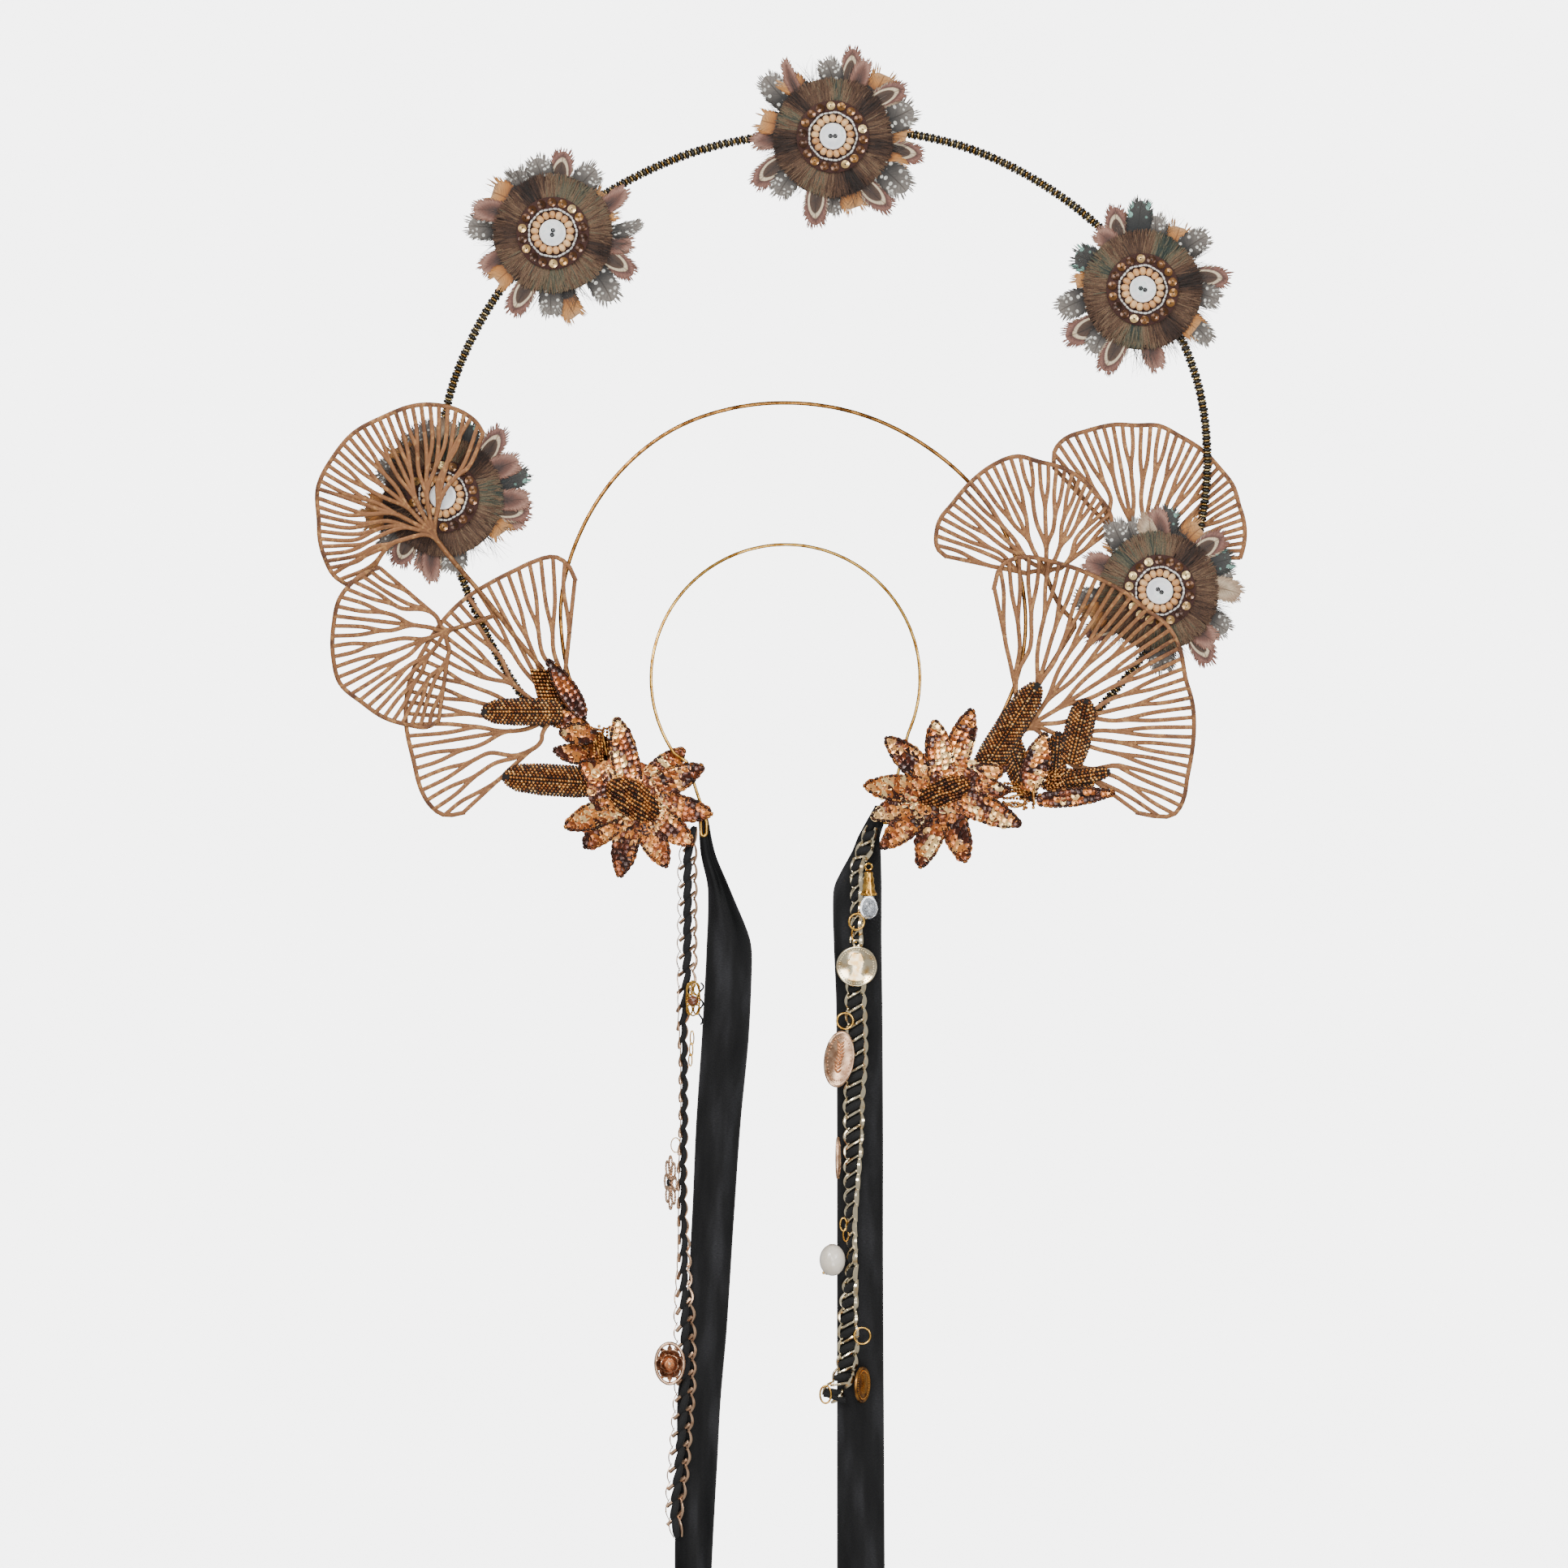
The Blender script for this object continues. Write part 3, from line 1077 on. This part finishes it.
def build_left_charms(chain, group, finishes):
    """Build the charms on the left chain."""
    place, z, seat = chain.seat(FILIGREE_DROP_PLACE, FILIGREE_DROP_WIDTH, FILIGREE_DROP_HEIGHT)
    drop = []
    for across, up in circle((0.0, 0.0), 0.5, DISC_STEPS):
        drop.append((place + across * FILIGREE_DROP_WIDTH, z + up * FILIGREE_DROP_HEIGHT))
    plate("filigree_drop", drop, (), seat, CHARM_THICKNESS, group, finishes["gold"])
    shape = bmesh.new()
    bmesh.ops.create_cone(
        shape, cap_ends=True, segments=CRYSTAL_FACETS, radius1=STONE_RADIUS,
        radius2=STONE_RADIUS * STONE_TABLE, depth=STONE_HEIGHT,
    )
    stone = bpy.data.meshes.new("stone")
    shape.to_mesh(stone)
    shape.free()
    stone.transform(Matrix.Rotation(math.radians(90), 4, "X"))
    forward = seat + CHARM_THICKNESS + SEAT_GAP + STONE_HEIGHT / 2
    add_object("filigree_stone", stand(stone, place, forward, z - STONE_DROP), group, finishes["stone"])

    z = chain.at(FILIGREE_FLOWER_DROP)[1]
    lobes = []
    for angle in spread(0.0, 345.0, 4 * FILIGREE_LOBES):
        swell = 1.0 - LOBE_DEPTH + LOBE_DEPTH * math.cos(math.radians(FILIGREE_LOBES * angle))
        lobes.append(around((0.0, 0.0), FILIGREE_FLOWER_DIAMETER / 2 * swell, angle))
    openings = [circle(place, FILIGREE_HOLE, HOLE_SIDES)
                for place in circle((0.0, 0.0), FILIGREE_HOLE_REACH, FILIGREE_LOBES)]
    flower = flat_mesh("flower", lobes, openings, CHARM_THICKNESS, group)
    flower.transform(Matrix.Rotation(math.pi / FILIGREE_LOBES, 4, "Y"))
    left, front, _ = min(chain.section(FILIGREE_FLOWER_DROP, 2))
    forward = RIBBON_FRONT + FILIGREE_FLOWER_DIAMETER / 4
    turn = math.radians(FILIGREE_FLOWER_TURN_DEG)
    left -= 2 * SEAT_GAP + CHARM_THICKNESS / 2 / math.sin(turn) + (front - forward) / math.tan(turn)
    stand(flower, left, forward, z, turn_deg=-FILIGREE_FLOWER_TURN_DEG)
    add_object("filigree_flower", flower, group, finishes["rose_gold"])

    x, z, seat = chain.seat(ROSE_PLACE, ROSE_WIDTH, ROSE_HEIGHT)
    rose = disc_mesh("rose", ROSE_WIDTH, ROSE_HEIGHT, CHARM_THICKNESS, ROSE_RELIEF, group)
    stand(rose, x, seat + CHARM_THICKNESS / 2 - CHARM_GAP, z, turn_deg=ROSE_TURN_DEG)
    add_object("rose_medallion", rose, group, finishes["gold"])


def build_crystal(x, forward, z, group, finishes):
    """Build the crystal drop under its cap. The place is the top of the cap."""
    cap_profile = [(CAP_RADIUS * radius, -CAP_HEIGHT * down) for radius, down in CAP_PROFILE]
    cap = turned_mesh("cap", cap_profile, CAP_STEPS, group)
    loop = torus_mesh("loop", CAP_LOOP, JUMP_RING_WIRE, LOOP_STEPS)
    loop.transform(Matrix.Translation((0.0, 0.0, CAP_LOOP / 2 - LOOP_OVERLAP)))
    for mesh in (cap, loop):
        stand(mesh, x, forward, z)
    join_by_union("crystal_cap", [cap, loop], group, finishes["gold"])
    top = CAP_HEIGHT + SEAT_GAP
    drop_profile = [
        (CRYSTAL_RADIUS * radius, -top - CRYSTAL_HEIGHT * down) for radius, down in CRYSTAL_PROFILE
    ]
    crystal = turned_mesh("crystal", drop_profile, CRYSTAL_FACETS, group)
    add_object("crystal_drop", stand(crystal, x, forward, z), group, finishes["crystal"])


def build_jump_ring(name, chain, place, group, finish):
    """Build a jump ring in front of a chain."""
    x, z, seat = chain.seat(place, JUMP_RING_DIAMETER, JUMP_RING_DIAMETER)
    ring = torus_mesh("ring", JUMP_RING_DIAMETER, JUMP_RING_WIRE, RING_STEPS)
    add_object(name, stand(ring, x, seat + JUMP_RING_WIRE / 2, z), group, finish)


def build_right_charms(chain, group, finishes):
    """Build the charms on the right chain."""
    height = CAP_HEIGHT + SEAT_GAP + CRYSTAL_HEIGHT
    x, z, seat = chain.seat(CRYSTAL_PLACE, 2 * CRYSTAL_RADIUS, height)
    build_crystal(x, seat + CRYSTAL_RADIUS - CHARM_GAP, z + height / 2, group, finishes)
    build_jump_ring("coin_ring", chain, COIN_RING_PLACE, group, finishes["gold"])

    x, z, seat = chain.seat(COIN_PLACE, COIN_DIAMETER, COIN_DIAMETER)
    parts = coin_parts(group)
    for mesh in parts:
        stand(mesh, x, seat + COIN_THICKNESS / 2, z)
    join_by_union("portrait_coin", parts, group, finishes["gold"])
    build_jump_ring("medallion_ring", chain, MEDALLION_RING_PLACE, group, finishes["gold"])

    x, z, seat = chain.seat(OVAL_PLACE, OVAL_WIDTH, OVAL_HEIGHT)
    oval = disc_mesh("oval", OVAL_WIDTH, OVAL_HEIGHT, CHARM_THICKNESS, OVAL_RELIEF, group)
    forward = seat + OVAL_WIDTH / 2 * math.sin(math.radians(OVAL_TURN_DEG)) + CHARM_THICKNESS / 2
    stand(oval, x, forward, z, turn_deg=OVAL_TURN_DEG, lean_deg=OVAL_LEAN_DEG)
    add_object("oval_medallion", oval, group, finishes["rose_gold"])

    x, z, _ = chain.at(EDGE_CHARM_PLACE[0])
    edge = disc_mesh("edge", EDGE_CHARM_WIDTH, EDGE_CHARM_HEIGHT, CHARM_THICKNESS, OVAL_RELIEF, group)
    forward = RIBBON_FRONT + SEAT_GAP + EDGE_CHARM_WIDTH / 2
    stand(edge, x + EDGE_CHARM_PLACE[1], forward, z, turn_deg=EDGE_CHARM_TURN_DEG)
    add_object("edge_charm", edge, group, finishes["rose_gold"])

    x, z, _ = chain.at(PEARL_PLACE[0])
    bpy.ops.mesh.primitive_uv_sphere_add(segments=12, ring_count=7, radius=0.5)
    pearl = shade_round(evaluated_mesh("pearl", bpy.context.object))
    pearl.transform(Matrix.Diagonal((PEARL_WIDTH, PEARL_WIDTH, PEARL_HEIGHT, 1.0)))
    stand(pearl, x + PEARL_PLACE[1], RIBBON_FRONT - SEAT_GAP + PEARL_WIDTH / 2, z)
    add_object("pearl", pearl, group, finishes["pearl"])

    x, z, _ = chain.at(END_COIN_PLACE[0])
    coin = disc_mesh("coin", END_COIN_DIAMETER, END_COIN_DIAMETER, COIN_THICKNESS, COIN_RELIEF, group)
    forward = RIBBON_FRONT + SEAT_GAP + END_COIN_DIAMETER * END_COIN_REACH
    stand(coin, x + END_COIN_PLACE[1], forward, z, turn_deg=END_COIN_TURN_DEG)
    add_object("end_coin", coin, group, finishes["gold"])


def main():
    """Build the whole crown."""
    clear_scene()
    group = new_collection("Halo crown")
    finishes = {
        "gold": material("gold_metal", (0.80, 0.60, 0.28), 1.0, 0.22),
        "rose_gold": material("rose_gold_metal", (0.72, 0.48, 0.34), 1.0, 0.30),
        "bronze": material("bronze_leaf", (0.36, 0.20, 0.10), 0.7, 0.45),
        "black_bead": material("black_bead", (0.03, 0.025, 0.02), 0.1, 0.25),
        "feather": material("feather", (0.16, 0.11, 0.07), 0.0, 0.85),
        "copper": material("copper_sequin", (0.55, 0.28, 0.15), 0.9, 0.28),
        "wood": material("wooden_bead", (0.66, 0.40, 0.20), 0.0, 0.5),
        "button": material("button_shell", (0.85, 0.83, 0.80), 0.0, 0.25),
        "beadwork": material("brown_beadwork", (0.30, 0.15, 0.05), 0.7, 0.3),
        "satin": material("black_satin", (0.012, 0.012, 0.013), 0.0, 0.4),
        "stone": material("brown_stone", (0.20, 0.09, 0.04), 0.0, 0.1),
        "crystal": material("clear_crystal", (0.92, 0.94, 0.97), 0.0, 0.03),
        "pearl": material("pearl_shell", (0.85, 0.80, 0.72), 0.0, 0.2),
    }
    build_hoops(group, finishes["black_bead"], finishes["gold"])
    build_headband(group, finishes["gold"])
    for flower in FEATHER_FLOWERS:
        build_feather_flower(flower, group, finishes)
    for leaf in LEAVES:
        build_leaf(leaf, group, finishes["bronze"])
    for flower in SEQUIN_FLOWERS:
        build_sequin_flower(flower, group, finishes["copper"])
    for blade in BLADES:
        sequins = blade.shape is POINTED_SHAPE
        build_blade(blade, group, finishes["copper" if sequins else "beadwork"])
    build_ribbon("left_ribbon", LEFT_HAIRPIN, LEFT_RIBBON, LEFT_RIBBON_DROP, group, finishes["satin"])
    build_ribbon("right_ribbon", RIGHT_HAIRPIN, RIGHT_RIBBON, RIGHT_RIBBON_DROP, group, finishes["satin"])
    left = chain_of("left_chain", LEFT_HAIRPIN, LEFT_CHAIN_START, LEFT_CHAIN, LEFT_CHAIN_WIDTH)
    right = chain_of("right_chain", RIGHT_HAIRPIN, RIGHT_CHAIN_START, RIGHT_CHAIN, RIGHT_CHAIN_WIDTH)
    build_chain(left, group, finishes["gold"])
    build_chain(right, group, finishes["gold"])
    build_left_charms(left, group, finishes)
    build_right_charms(right, group, finishes)


main()
